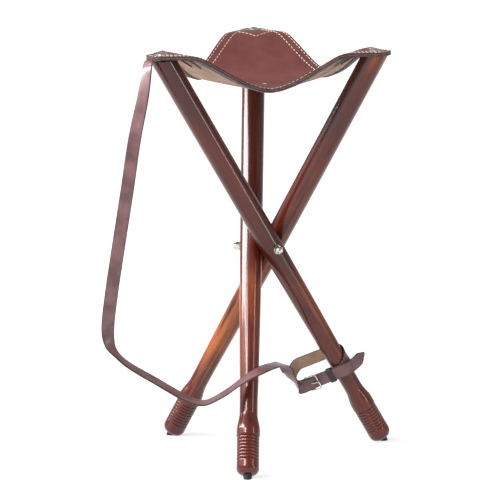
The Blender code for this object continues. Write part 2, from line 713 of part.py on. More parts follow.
# Into the buckle: the distance past its bar, out from it and up the leg, and the share of the twist
ENTERING = ((-0.0075, 0.0190, 0.0360, 0.35), (-0.0100, 0.0105, 0.0170, 0.70), (-0.0105, 0.0045, 0.0050, 0.95),
            (-0.0080, 0.0014, 0.0006, 1.00))
for b, n, d, twist in ENTERING:
    knots.append((on_loop(-BUCKLE_BAR_AT + b, OVER_BAR + n, d), Vector(HANGING[-1][2]).lerp(left.d, twist)))
over = [(-BUCKLE_BAR_AT - 0.0045, OVER_BAR + 0.0004, 0), (-BUCKLE_BAR_AT + 0.001, OVER_BAR, 0),
        (-FREE_AT - 0.003, UNDER_BAR, 0), (-FREE_AT + 0.003, UNDER_BAR, 0),
        (-KEEPER_AT - 0.006, UNDER_BAR, 0), (-KEEPER_AT + 0.006, UNDER_BAR, 0)]
over += [(b, UNDER_BAR + n, 0) for b, n in TAIL]
knots += [(on_loop(b, n, d), left.d) for b, n, d in over]
route = eased([k[0] for k in knots], 2)
ways = eased([Vector(k[1]).normalized() for k in knots], 2)
gone = np.concatenate([[0], np.cumsum(np.linalg.norm(np.diff(route, axis=0), axis=1))])
widths = STRAP_WIDTH * np.clip((gone[-1] - gone + 0.003) / TAIL_POINT, 0.15, 1)
strap = ribbon("carry_strap", route, ways, widths, STRAP_THICK, STRAP)
combine(strap, bpy.data.objects["cut_hole_left"])
strap_slot = block(
    "cut_strap_slot",
    (-BUCKLE_BAR_AT - 0.0035, UNDER_BAR - 0.004, -half_slot),
    (-FREE_AT + 0.004, OVER_BAR + 0.006, half_slot),
    STRAP,
    loop_place,
)
combine(strap, cutter(strap_slot))

# The origin: the middle of the floor area of all but the strap's pieces
SOFT = ("carry_strap", "leg_loop", "strap_keeper", "buckle_frame", "buckle_tongue")
bpy.context.view_layer.update()
graph = bpy.context.evaluated_depsgraph_get()
low, high = np.full(3, 9.0), np.full(3, -9.0)
for obj in stool.objects:
    if obj.name in SOFT:
        continue
    made = obj.evaluated_get(graph)
    mesh = made.to_mesh()
    spots = np.empty(len(mesh.vertices) * 3, np.float32)
    mesh.vertices.foreach_get("co", spots)
    world = np.array(made.matrix_world, float)
    spots = spots.reshape(-1, 3) @ world[:3, :3].T + world[:3, 3]
    low, high = np.minimum(low, spots.min(0)), np.maximum(high, spots.max(0))
    made.to_mesh_clear()
shift = Matrix.Translation((-(low[0] + high[0]) / 2, -(low[1] + high[1]) / 2, 0))
for obj in [*stool.objects, *cutters.objects]:
    obj.matrix_world = shift @ obj.matrix_world

print("shift", [round(v, 6) for v in shift.translation], "size", np.round(high - low, 5), "low z", round(low[2], 6))
print("hub", [round(v, 6) for v in shift @ centre], "leg top z", round(LEG_TOP_Z, 6), "seat z", round(SEAT_Z, 6))
for side, line in LINES.items():
    print(side, "axis", [round(-v, 7) for v in line.e], "top", [round(v, 6) for v in shift @ line.top],
          "foot", [round(v, 6) for v in shift @ (line.hub - (LEG_BELOW + FOOT_STANDOFF) * line.d)])
print("tongue", [round(v, 6) for v in shift @ pivot], "axis", [round(-v, 7) for v in left.d])
print("strap", round(float(gone[-1]), 4), "exit", [round(v, 5) for v in shift @ lip])
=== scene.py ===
import math

import bpy
import numpy as np
from mathutils import Matrix, Vector


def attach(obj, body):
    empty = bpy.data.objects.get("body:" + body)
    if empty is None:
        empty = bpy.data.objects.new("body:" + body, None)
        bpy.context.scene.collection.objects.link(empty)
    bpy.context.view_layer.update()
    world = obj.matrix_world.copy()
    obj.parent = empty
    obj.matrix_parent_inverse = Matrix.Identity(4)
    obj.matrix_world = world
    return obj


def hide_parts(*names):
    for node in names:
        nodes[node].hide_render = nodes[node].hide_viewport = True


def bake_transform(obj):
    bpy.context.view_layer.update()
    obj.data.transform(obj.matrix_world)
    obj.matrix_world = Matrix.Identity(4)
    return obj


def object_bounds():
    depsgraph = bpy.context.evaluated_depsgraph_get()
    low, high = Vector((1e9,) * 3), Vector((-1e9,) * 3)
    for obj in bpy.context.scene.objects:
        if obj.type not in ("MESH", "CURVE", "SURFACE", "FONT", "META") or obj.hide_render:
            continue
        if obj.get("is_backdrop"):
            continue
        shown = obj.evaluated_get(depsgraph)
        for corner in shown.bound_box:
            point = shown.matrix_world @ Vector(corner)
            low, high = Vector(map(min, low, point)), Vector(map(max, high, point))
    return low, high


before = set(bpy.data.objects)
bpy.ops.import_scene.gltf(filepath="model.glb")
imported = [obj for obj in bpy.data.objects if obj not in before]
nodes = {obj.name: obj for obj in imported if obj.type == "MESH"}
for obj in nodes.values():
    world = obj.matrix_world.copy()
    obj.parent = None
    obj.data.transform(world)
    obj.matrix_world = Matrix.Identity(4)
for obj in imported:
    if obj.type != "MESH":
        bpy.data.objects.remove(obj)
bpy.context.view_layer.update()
print("frame: loaded", len(nodes), "nodes")

# the stool's stance, in metres and degrees, as the frame has it
stance = {
    "hub": (-0.010086, -0.00244, 0.290103),
    "splay": 31.1,
    "above": 0.3204,
    "below": 0.333,
    "armOffset": 0.020,
    "legTopZ": 0.564451,
    "seatZ": 0.570051,
    "arms": {"left": -60.0, "right": 60.0, "rear": 180.0},
}
up = np.array([0.0, 0.0, 1.0])
hub = np.array(stance["hub"])
splay = math.radians(stance["splay"])
topReach = math.hypot(stance["armOffset"], stance["above"] * math.sin(splay))


def unit(v):
    v = np.asarray(v, float)
    return v / np.linalg.norm(v, axis=-1, keepdims=True)


class LegLine:
    # e along the bolt's arm, t towards the leg's top, d up the leg, out from the middle to the leg's top
    def __init__(self, turn):
        self.e = np.array([math.cos(turn), math.sin(turn), 0])
        self.t = np.array([math.sin(turn), -math.cos(turn), 0])
        self.d = math.cos(splay) * up + math.sin(splay) * self.t
        self.x = np.cross(self.e, self.d)
        self.hub = hub + stance["armOffset"] * self.e
        self.top = self.hub + stance["above"] * self.d
        self.out = unit((self.top - hub) * (1, 1, 0))
        self.sideWay = np.cross(up, self.out)

    def place(self, local):
        return self.hub + local[..., :1] * self.x + local[..., 1:2] * self.e + local[..., 2:] * self.d


lines = {side: LegLine(math.radians(turn)) for side, turn in stance["arms"].items()}


def colour(r, g, b):
    # screen values from 0 to 255, made linear as the shaders want them
    share = np.array([r, g, b]) / 255
    return (*np.where(share <= 0.04045, share / 12.92, ((share + 0.055) / 1.055) ** 2.4), 1.0)


class Wire:
    # a node's output that can be added and multiplied; make() adds any node
    def __init__(self, tree, socket=None):
        self.tree = tree
        self.socket = socket

    def make(self, kind, inputs=None, output=0, **settings):
        made = self.tree.nodes.new(kind)
        for key, value in settings.items():
            setattr(made, key, value)
        for key, value in (inputs or {}).items():
            if isinstance(value, Wire):
                self.tree.links.new(value.socket, made.inputs[key])
            else:
                made.inputs[key].default_value = value
        return Wire(self.tree, made.outputs[output])

    def math(self, operation, first, second):
        return self.make("ShaderNodeMath", {0: first, 1: second}, operation=operation)

    def __add__(self, other):
        return self.math("ADD", self, other)

    def __radd__(self, other):
        return self.math("ADD", other, self)

    def __mul__(self, other):
        return self.math("MULTIPLY", self, other)

    def __rmul__(self, other):
        return self.math("MULTIPLY", other, self)

    def between(self, low, high, toLow=0.0, toHigh=1.0):
        return self.make(
            "ShaderNodeMapRange",
            {0: self, 1: low, 2: high, 3: toLow, 4: toHigh},
            interpolation_type="SMOOTHSTEP",
        )

    def mix(self, first, second):
        return self.make("ShaderNodeMix", {0: self, 6: first, 7: second}, 2, data_type="RGBA")

    def noise(self, scale, stretch=(1, 1, 1), detail=4.0, rough=0.55):
        turned = self.make("ShaderNodeMapping", {"Vector": self, "Scale": stretch})
        values = {"Vector": turned, "Scale": scale, "Detail": detail, "Roughness": rough}
        return self.make("ShaderNodeTexNoise", values)

    def bump(self, strength, distance):
        values = {"Strength": strength, "Distance": distance, "Height": self}
        return self.make("ShaderNodeBump", values, "Normal")

    def attribute(self, name, output="Fac"):
        return self.make("ShaderNodeAttribute", {}, output, attribute_name=name)

    def objectPlace(self):
        return self.make("ShaderNodeTexCoord", {}, "Object")


def newLook(name, **fixed):
    look = bpy.data.materials.new(name)
    look.use_nodes = True
    shader = look.node_tree.nodes["Principled BSDF"]
    for key, value in fixed.items():
        shader.inputs[key.replace("_", " ")].default_value = value
    return look, Wire(look.node_tree), shader


def feed(shader, **wires):
    for key, wire in wires.items():
        wire.tree.links.new(wire.socket, shader.inputs[key.replace("_", " ")])


def speckled(name, scale, detail, shades, span=(0.3, 0.7), rough=None, relief=None, **fixed):
    # one noise over the piece blends two shades, and sets its roughness and relief where these are given
    look, start, shader = newLook(name, **fixed)
    noise = start.objectPlace().noise(scale, detail=detail)
    feed(shader, Base_Color=noise.between(*span).mix(*[colour(*shade) for shade in shades]))
    if rough:
        feed(shader, Roughness=noise.between(0.3, 0.7, *rough))
    if relief:
        feed(shader, Normal=noise.bump(*relief))
    return look


# lacquered hardwood: long fibres and slow bands along the leg, in the leg's own coordinates
wood = {
    "dark": (62, 15, 9),
    "middle": (112, 38, 22),
    "light": (204, 112, 44),
    "pores": (44, 11, 7),
    "lacquer": {"Coat_Weight": 0.6, "Coat_IOR": 1.55, "Coat_Roughness": 0.08, "Specular_IOR_Level": 0.2},
    "pale": {"left": 0.0, "right": 0.24, "rear": 0.0},  # painted light: how far each leg's lower stretch leans to the light shade
    "paintedLightFrom": 0.06,  # height where it starts
    "paintedLightIn": 0.06,  # length over which it grows
    "paintedLightPast": 0.04,  # height over the crossing where it has gone
    "paintedLightOut": 0.12,  # length over which it goes
    "paintedLightLeast": 0.2,  # what stays of it above
    "patternStep": 0.3,  # from one leg's stretch of the pattern to the next
}
woodLook, start, shader = newLook("legWood", **wood["lacquer"])
space = start.attribute("legSpace", "Vector")
fibres = space.noise(260.0, (1, 1, 0.05), 5.0, 0.62)
bands = space.noise(38.0, (1, 1, 0.10), 3.0)
slow = space.noise(9.0, (1, 1, 0.6), 2.0)
body = (bands * 0.6 + slow * 0.5).between(0.38, 0.72)
red = body.mix(colour(*wood["dark"]), colour(*wood["middle"]))
# the light shade comes partly from the wood's own slow bands and fibres, partly from painted light in the
# pale attribute
amberAndPaintedLight = (slow * 0.7 + fibres * 0.4 + start.attribute("pale")).between(0.6, 0.84, 0.0, 0.8)
base = amberAndPaintedLight.mix(red, colour(*wood["light"]))
pores = fibres.between(0.30, 0.47, 0.75, 0.0)
base = pores.mix(base, colour(*wood["pores"]))
# painted shade: the grooves are darkened with the pores' colour
base = start.attribute("grooveShade").between(0.15, 0.75).mix(base, colour(*wood["pores"]))
feed(shader, Base_Color=base, Normal=fibres.bump(0.06, 0.0004))
feed(shader, Roughness=fibres.between(0.3, 0.7, 0.42, 0.26))

# seat hide: smooth brown with a slow mottle and a darker burnished rim
hideTones = {"face": (118, 62, 57), "deep": (102, 51, 47), "rim": (74, 43, 44)}
hideLook, start, shader = newLook("seatHide", Coat_Weight=0.08, Coat_Roughness=0.3)
mottle = start.objectPlace().noise(30.0, detail=5.0)
grain = start.objectPlace().noise(900.0, detail=3.0)
face = mottle.between(0.3, 0.7).mix(colour(*hideTones["deep"]), colour(*hideTones["face"]))
face = start.attribute("edgeAway").between(0.0005, 0.003, 1.0, 0.0).mix(face, colour(*hideTones["rim"]))
feed(shader, Base_Color=face, Roughness=grain.between(0.3, 0.7, 0.36, 0.5), Normal=grain.bump(0.25, 0.0003))


def rawSide(name, deep, pale, dark):
    # the undyed side of a hide: a short nap over a slow cloud
    look, start, shader = newLook(name, Roughness=0.85)
    nap = start.objectPlace().noise(420.0, detail=4.0)
    cloud = start.objectPlace().noise(40.0, detail=3.0)
    tan = cloud.between(0.35, 0.65).mix(colour(*deep), colour(*pale))
    tan = nap.between(0.3, 0.6, 0.35, 0.0).mix(tan, colour(*dark))
    feed(shader, Base_Color=tan, Normal=nap.bump(0.4, 0.0004))
    return look


underLook = rawSide("hideUnderside", (228, 188, 164), (244, 212, 188), (190, 148, 126))
loopUnderLook = rawSide("strapUnderside", (196, 158, 136), (220, 188, 164), (156, 120, 100))

# strap hide: one waxed face, darker cut edges; across is 0 along the strap's middle and 1 at its edges
strapTones = {"deep": (98, 63, 65), "face": (134, 94, 96), "edge": (40, 26, 28)}
strapLook, start, shader = newLook("strapHide", Coat_Weight=0.35, Coat_Roughness=0.16)
grain = start.objectPlace().noise(700.0, detail=3.0)
mottle = start.objectPlace().noise(45.0, detail=3.0)
face = mottle.between(0.3, 0.7).mix(colour(*strapTones["deep"]), colour(*strapTones["face"]))
face = start.attribute("across").between(0.86, 0.98).mix(face, colour(*strapTones["edge"]))
feed(shader, Base_Color=face, Roughness=grain.between(0.3, 0.7, 0.34, 0.46), Normal=grain.bump(0.2, 0.0002))

# finishes of one noise: its scale, its detail and two shades
rimShades = ((58, 34, 36), (96, 60, 58))
suedeShades = ((116, 110, 118), (150, 146, 154))
keeperShades = ((26, 20, 22), (46, 34, 36))
nickelShades = ((196, 192, 186), (222, 219, 213))
rubberShades = ((16, 15, 15), (34, 31, 30))
threadShades = ((214, 202, 190), (240, 232, 222))
keeperWax = {"Coat_Weight": 0.2, "Coat_Roughness": 0.25}
rimLook = speckled("seatRim", 160.0, 3.0, rimShades, (0.35, 0.7), Roughness=0.42)
suedeLook = speckled("patchSuede", 600.0, 4.0, suedeShades, relief=(0.4, 0.0003), Roughness=0.95)
keeperLook = speckled("keeperHide", 700.0, 3.0, keeperShades, rough=(0.4, 0.55), **keeperWax)
nickelLook = speckled("nickel", 220.0, 4.0, nickelShades, rough=(0.16, 0.3), Metallic=1.0)
rubberLook = speckled("tipRubber", 300.0, 3.0, rubberShades, rough=(0.5, 0.7))
threadLook = speckled("thread", 1500.0, 2.0, threadShades, Roughness=0.6)
print("materials: made")


def gridFaces(rows, columns, closeRows=False, closeColumns=False):
    # quads of a grid of points numbered row by row
    r = np.arange(rows if closeRows else rows - 1)[:, None]
    c = np.arange(columns if closeColumns else columns - 1)[None, :]
    r2, c2 = (r + 1) % rows, (c + 1) % columns
    quads = [r * columns + c, r * columns + c2, r2 * columns + c2, r2 * columns + c]
    return np.stack(quads, -1).reshape(-1, 4)


def makePiece(name, points, faces, looks, faceLooks=None, values=None, normals=None):
    # values are attributes on the points; normals are for each face corner, zero where Blender's own will do
    mesh = bpy.data.meshes.new(name)
    mesh.from_pydata(np.asarray(points).reshape(-1, 3).tolist(), [], [[int(i) for i in f] for f in faces])
    for look in looks:
        mesh.materials.append(look)
    mesh.polygons.foreach_set("use_smooth", np.ones(len(mesh.polygons), bool))
    if faceLooks is not None:
        mesh.polygons.foreach_set("material_index", np.asarray(faceLooks, np.int32))
    for key, data in (values or {}).items():
        data = np.asarray(data, np.float32)
        kind, word = ("FLOAT_VECTOR", "vector") if data.ndim > 1 else ("FLOAT", "value")
        mesh.attributes.new(key, kind, "POINT").data.foreach_set(word, data.ravel())
    if normals is not None:
        mesh.normals_split_custom_set(np.asarray(normals).reshape(-1, 3).tolist())
    mesh.update()
    piece = bpy.data.objects.new(name, mesh)
    bpy.context.scene.collection.objects.link(piece)
    return piece


# legs: a profile of radius and height turned round the leg's line, its top cut level
# radii, and heights above the wooden end where the name ends in At, From or To
legSizes = {
    "top": 0.01625,
    "hub": 0.0156,
    "middle": 0.0143,
    "middleAt": 0.213,
    "neck": 0.0125,
    "neckFrom": 0.088,
    "neckTo": 0.104,
    "swell": 0.0161,
    "swellAt": 0.062,
    "band": 0.0155,
    "endRound": 0.0088,
    "grooves": 8,
    "pitch": 0.0047,
    "grooveDepth": 0.0012,
    "grooveFrom": 0.018,
    "beadEdge": 0.35,  # the lower, the flatter the beads between the grooves
    "socket": 0.0043,  # hole for the foot tip
    "washerFlat": 0.0068,
    "flatDepth": 0.0010,
    "strapCut": 0.0024,  # the left leg is cut this much lower, for the strap under the seat
    "sides": 96,
    "endRows": 7,
    "bandRows": 5,
    "grooveRows": 12,
    "spans": ((0.11, 40), (0.322, 50), (0.344, 45), (0.635, 60)),  # heights, and the rows up to each
    "topRows": 11,
}
grooveTo = legSizes["grooveFrom"] + legSizes["grooves"] * legSizes["pitch"]


def legRadius(h):
    # radius at heights above the wooden end: a slow taper, a neck, a swelling and a ringed band
    z = legSizes
    places = [z["neckTo"], z["middleAt"], stance["below"], stance["below"] + stance["above"]]
    taper = np.interp(h, places, [z["neck"], z["middle"], z["hub"], z["top"]])
    share = np.clip((z["neckFrom"] - h) / (z["neckFrom"] - z["swellAt"]), 0, 1)
    swelling = z["neck"] + (z["swell"] - z["neck"]) * share**2 * (3 - 2 * share)
    taper = np.where(h < z["neckFrom"], swelling, taper)
    ring = (h - z["grooveFrom"]) / z["pitch"]
    beads = z["band"] - z["grooveDepth"] * (1 - np.abs(np.cos(math.pi * ring)) ** z["beadEdge"])
    taper = np.where(h < grooveTo, beads, taper)
    taper = np.where(h < z["grooveFrom"], z["band"], taper)
    low = np.clip(1 - h / z["endRound"], 0, 1)
    return taper - z["endRound"] * (1 - np.sqrt(1 - low**2))


def legHeights():
    # the grid's rows, close together where the profile turns quickly
    z = legSizes
    rows = [
        z["endRound"] * (1 - np.cos(np.linspace(0, math.pi / 2, z["endRows"])))[:-1],
        np.linspace(z["endRound"], z["grooveFrom"], z["bandRows"])[:-1],
        np.linspace(z["grooveFrom"], grooveTo, z["grooves"] * z["grooveRows"] + 1)[:-1],
    ]
    low = grooveTo
    for high, count in z["spans"]:
        rows.append(np.linspace(low, high, count)[:-1])
        low = high
    return np.concatenate([*rows, [low]])


def buildLeg(side, line):
    # radius times the cosine and sine of the turn, over the height; a level cut, a washer's flat and a socket
    z = legSizes
    h = legHeights()
    rows, sides, topRows = len(h), z["sides"], z["topRows"]
    turn = np.arange(sides) * 2 * math.pi / sides
    circle = np.stack([np.cos(turn), np.sin(turn)], -1)
    radius = legRadius(h)[:, None]
    height = np.repeat(h[:, None] - stance["below"], sides, 1)
    # the top rows close up on the level cut
    cutZ = stance["legTopZ"] - (z["strapCut"] if side == "left" else 0)
    tip = (cutZ - line.hub[2] - z["top"] * np.cos(turn) * line.x[2]) / line.d[2]
    low = h[-topRows - 1] - stance["below"]
    height[-topRows:] = low + (tip - low) * (np.arange(1, topRows + 1) / topRows)[:, None]
    local = np.stack([radius * circle[:, 0], radius * circle[:, 1], height], -1)
    # a flat for the washer at the end of the bolt's arm
    near = (local[..., 0] ** 2 + local[..., 2] ** 2 < z["washerFlat"] ** 2) & (local[..., 1] > 0)
    flat = z["hub"] - z["flatDepth"]
    local[..., 1] = np.where(near, np.minimum(local[..., 1], flat), local[..., 1])
    points = line.place(local).reshape(-1, 3)
    socket = np.column_stack([z["socket"] * circle, np.full(sides, -stance["below"])])
    points = np.concatenate([points, line.place(socket), [points[(rows - 1) * sides :].mean(0)]])
    ids = np.arange(sides)
    after = (ids + 1) % sides
    end, top = rows * sides, (rows - 1) * sides
    faces = gridFaces(rows, sides, False, True).tolist()
    faces += np.stack([after, ids, end + ids, end + after], -1).tolist()
    faces += np.stack([top + ids, top + after, np.full(sides, end + sides)], -1).tolist()
    # the material's values: a stretch of wood for each leg, the grooves' depth for their painted shade, and
    # the painted light that makes a leg's lower stretch paler
    own = np.concatenate([local.reshape(-1, 3), socket, [[0, 0, local[-1, 0, 2]]]])
    own = own + (wood["patternStep"] * list(lines).index(side), 0, 0)
    cut = np.where((h > z["grooveFrom"]) & (h < grooveTo), (z["band"] - legRadius(h)) / z["grooveDepth"], 0)
    # painted light on the lower stretch, fading in above the end and out above the crossing
    fadeIn = np.clip((h - wood["paintedLightFrom"]) / wood["paintedLightIn"], 0, 1)
    fadeOut = np.clip((stance["below"] + wood["paintedLightPast"] - h) / wood["paintedLightOut"], wood["paintedLightLeast"], 1)
    pale = wood["pale"][side] * fadeOut * fadeIn
    values = {
        "legSpace": own,
        "grooveShade": np.concatenate([np.repeat(cut, sides), np.zeros(sides + 1)]),
        "pale": np.concatenate([np.repeat(pale, sides), np.full(sides + 1, pale[0])]),
    }
    leg = makePiece("legWood_" + side, points, faces, [woodLook], values=values)
    leg.data.set_sharp_from_angle(angle=math.radians(50))
    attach(leg, side + "_leg")
    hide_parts("leg_" + side)


for side, line in lines.items():
    buildLeg(side, line)
print("legs: built")

# the metal and rubber pieces are the frame's own
metalNames = ("three_way", "leg_washer", "cap_nut", "cup_washer", "seat_screw", "buckle")
for name, node in nodes.items():
    look = nickelLook if name.startswith(metalNames) else rubberLook if name.startswith("foot_tip") else None
    if look:
        node.data.materials.clear()
        node.data.materials.append(look)
print("metal and rubber: given their looks")

# the seat: one sheet with three arms, level at the corners and dished between them
seat = {
    "thick": 0.0032,
    "beyond": 0.021,  # past the middle of the leg's top
    "half": 0.018,  # half a corner's width
    "flat": 0.0036,  # half the straight end of a corner
    "cornerRound": 0.014,
    "edgeMiddle": 0.110,  # from the middle of the seat to the middle of a side
    "slope": 0.693,
    "dishFrom": 0.0304,  # in from the middle of the leg's top
    "easeTop": 0.0098,
    "bottomAt": 0.0588,  # reach where the dish levels out
    "easeLow": 0.040,
    "valley": 0.011,  # how softly the three arms join
    "dishLength": 0.012,  # what the dish adds to a cut's length
    "bendAt": 0.54,
    "bendOver": 0.115,  # length over which a half would take up its leg's turn; not used to bend it
    "rows": 57,
    "rowsFrom": 0.02,
    "rowsTo": 0.985,
    "rimRows": (0.993, 0.9975, 1.0),
    "rimEase": ((-1, 0.0007), (-2, 0.00015)),
    "edgePoints": 36,
    "capPoints": 15,
    "tipPoints": 7,
}
patch = {
    "thick": 0.0020,
    "gap": 0.0002,
    "half": 0.030,  # half the V's width
    "ends": 0.023,  # in from the middle of the leg's top, at the V's ends and at its point
    "apex": 0.041,
    "border": 0.0145,  # the strip along the edge
    "rows": 24,
}
stitch = {
    "pitch": 0.0056,
    "length": 0.0043,
    "width": 0.0011,
    "height": 0.0009,
    "lift": 0.4,  # share of the half height that it stands up by
    "blunt": 0.6,  # the lower, the blunter its ends
    "rings": 7,
    "sides": 8,
    "rows": (0.0032, 0.0118),  # in from the edge
    "veeAt": 0.037,  # in from the middle of the leg's top
    "veeLean": 0.6,
    "veeHalf": 0.025,
    "veePoints": 27,
}
sin60 = math.sin(math.pi / 3)


def bend(x, ease):
    # nothing below zero and x above it, joined by a parabola over the ease on either side
    return np.where(x <= -ease, 0, np.where(x >= ease, x, (x + ease) ** 2 / (4 * ease)))


def seatTop(p):
    # height of the hide's top over x, y: the farthest reach of the three arms, softly joined, sets the fall
    q = p[..., :2] - hub[:2]
    reach = np.stack([q @ line.out[:2] for line in lines.values()])
    s = seat["valley"] * np.log(np.exp(reach / seat["valley"]).sum(0))
    inward = topReach - s
    fall = bend(inward - seat["dishFrom"], seat["easeTop"])
    fall = fall - bend(inward - (topReach - seat["bottomAt"]), seat["easeLow"])
    return stance["seatZ"] - seat["slope"] * fall


def seatPoints(p, depth=0.0):
    # points on the hide under places x, y, moved down along its normal
    step = 0.0004
    slopeX = (seatTop(p + [step, 0]) - seatTop(p - [step, 0])) / (2 * step)
    slopeY = (seatTop(p + [0, step]) - seatTop(p - [0, step])) / (2 * step)
    normal = unit(np.stack([-slopeX, -slopeY, np.ones_like(slopeX)], -1))
    return np.concatenate([p, seatTop(p)[..., None]], -1) - normal * depth, normal


def halfEdge():
    # s and w from the middle of a side to a corner's tip: a parabola, then a rounded corner
    sideFrom = topReach + seat["beyond"] - seat["cornerRound"]
    run = sideFrom * sin60 - seat["half"] * 0.5
    rise = sideFrom * 0.5 + seat["half"] * sin60 - seat["edgeMiddle"]
    along = np.linspace(0, 1, seat["edgePoints"])
    away, x = seat["edgeMiddle"] + rise * along**2, run * along
    edge = np.stack([0.5 * away + sin60 * x, sin60 * away - 0.5 * x], -1)
    turn = np.linspace(0, math.pi / 2, seat["capPoints"])[1:]
    flat = seat["flat"]
    capS = sideFrom + seat["cornerRound"] * np.sin(turn)
    cap = np.stack([capS, flat + (seat["half"] - flat) * np.cos(turn)], -1)
    tipW = np.linspace(flat, 0, seat["tipPoints"])[1:]
    tip = np.stack([np.full(len(tipW), cap[-1, 0]), tipW], -1)
    return np.concatenate([edge, cap, tip])


half = halfEdge()
outline = np.concatenate([half * (1, -1), half[::-1][1:]])  # one third, from mid side to mid side
hands = {-1: slice(None, len(half)), 1: slice(len(half) - 1, None)}  # its two halves, either side of the leg


def flatPoint(line, sw):
    # x, y of places s out towards a corner and w to its side
    return hub[:2] + sw[..., :1] * line.out[:2] + sw[..., 1:] * line.sideWay[:2]


def shellFaces(rows, columns):
    # faces of a closed slab made of two equal grids; their kinds are 0 top, 1 under, 2 outer edge, 3 the rest
    total = rows * columns
    top = gridFaces(rows, columns)
    ids = np.arange(total).reshape(rows, columns)
    walls = []
    for ring, kind in ((ids[-1], 2), (ids[0][::-1], 3), (ids[:, 0], 3), (ids[::-1, -1], 3)):
        a, b = ring[:-1], ring[1:]
        walls.append((np.stack([a, b, b + total, a + total], -1), kind))
    faces = np.concatenate([top[:, ::-1], top + total, *[w[0][:, ::-1] for w in walls]])
    kinds = np.concatenate([np.zeros(len(top)), np.ones(len(top)), *[np.full(len(w), k) for w, k in walls]])
    return faces, kinds.astype(int)


def edgeDistance(sw):
    # distance from each place to the nearest point of the outline
    flat = sw.reshape(-1, 2)
    return np.sqrt(((flat[:, None] - outline[None]) ** 2).sum(-1).min(1))


def hang(piece, side, hand):
    # bakes the half's place into its points; the start and way of a bend along its leg are worked out but not
    # used
    start = hub * (1, 1, 0) + up * seat["bendAt"]
    way = sin60 * lines[side].out - hand * 0.5 * lines[side].sideWay
    start + way * seat["bendOver"]
    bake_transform(piece)


def buildSeatHalf(name, line, hand):
    # shares of the outline, from near the middle out to the rim, laid on the dish and one thickness under it
    k = np.concatenate([np.linspace(seat["rowsFrom"], seat["rowsTo"], seat["rows"]), seat["rimRows"]])
    sw = k[:, None, None] * outline[None, hands[hand]]
    top, normal = seatPoints(flatPoint(line, sw), 0.0)
    low, _ = seatPoints(flatPoint(line, sw), seat["thick"])
    # the rim is eased over its last rows
    for row, drop in seat["rimEase"]:
        top[row] -= normal[row] * drop
        low[row] += normal[row] * drop
    faces, kinds = shellFaces(*sw.shape[:2])
    points = np.concatenate([top.reshape(-1, 3), low.reshape(-1, 3)])
    cornerNormals = np.concatenate([normal.reshape(-1, 3), -normal.reshape(-1, 3)])[faces]
    cornerNormals[kinds > 1] = 0
    values = {"edgeAway": np.tile(edgeDistance(sw), 2)}
    looks = [hideLook, underLook, rimLook]
    piece = makePiece(name, points, faces, looks, np.array([0, 1, 2, 1])[kinds], values, cornerNormals)
    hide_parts("seat_leather")
    return piece


def outward():
    # the outline's normals, turned away from the middle
    step = np.gradient(outline, axis=0)
    way = unit(np.stack([-step[:, 1], step[:, 0]], -1))
    return way * np.sign((way * outline).sum(1))[:, None]


def buildPatchHalf(name, line, hand):
    # a strip along the seat's edge, widened to a shallow V at the corner, under the hide
    apex = topReach - patch["apex"]
    lean = (patch["apex"] - patch["ends"]) / patch["half"]
    toV = outline[:, 0] - lean * np.abs(outline[:, 1])
    atV = np.where(toV > apex, apex / np.maximum(toV, apex), 1)
    first = np.minimum(atV, 1 - patch["border"] / (outline * outward()).sum(1))
    share = np.linspace(0, 1, patch["rows"])[:, None]
    k = first[None] + (1 - first[None]) * share
    sw = (k[..., None] * outline[None])[:, hands[hand]]
    top, _ = seatPoints(flatPoint(line, sw), seat["thick"] + patch["gap"])
    low, _ = seatPoints(flatPoint(line, sw), seat["thick"] + patch["gap"] + patch["thick"])
    faces, kinds = shellFaces(*sw.shape[:2])
    points = np.concatenate([top.reshape(-1, 3), low.reshape(-1, 3)])
    piece = makePiece(name, points, faces, [suedeLook, rimLook], np.array([0, 0, 1, 0])[kinds])
    piece.data.set_sharp_from_angle(angle=math.radians(40))
    # the cut's width and length, along the seat's edge, with the dish's share
    way = unit(half[-1] - half[0]) * (1, hand)
    flat = sw.reshape(-1, 2)
    return piece, (np.ptp(flat @ [-way[1], way[0]]), np.ptp(flat @ way) + seat["dishLength"])


def along(path, pitch):
    # middles and directions of stitches of equal pitch along a path
    gone = np.concatenate([[0], np.cumsum(np.linalg.norm(np.diff(path, axis=0), axis=1))])
    count = max(int(gone[-1] / pitch), 1)
    at = (np.arange(count) + 0.5) * gone[-1] / count
    step = 1e-4
    spot, ahead, behind = (
        np.stack([np.interp(place, gone, path[:, i]) for i in range(path.shape[1])], -1)
        for place in (at, at + step, at - step)
    )
    return spot, ahead - behind


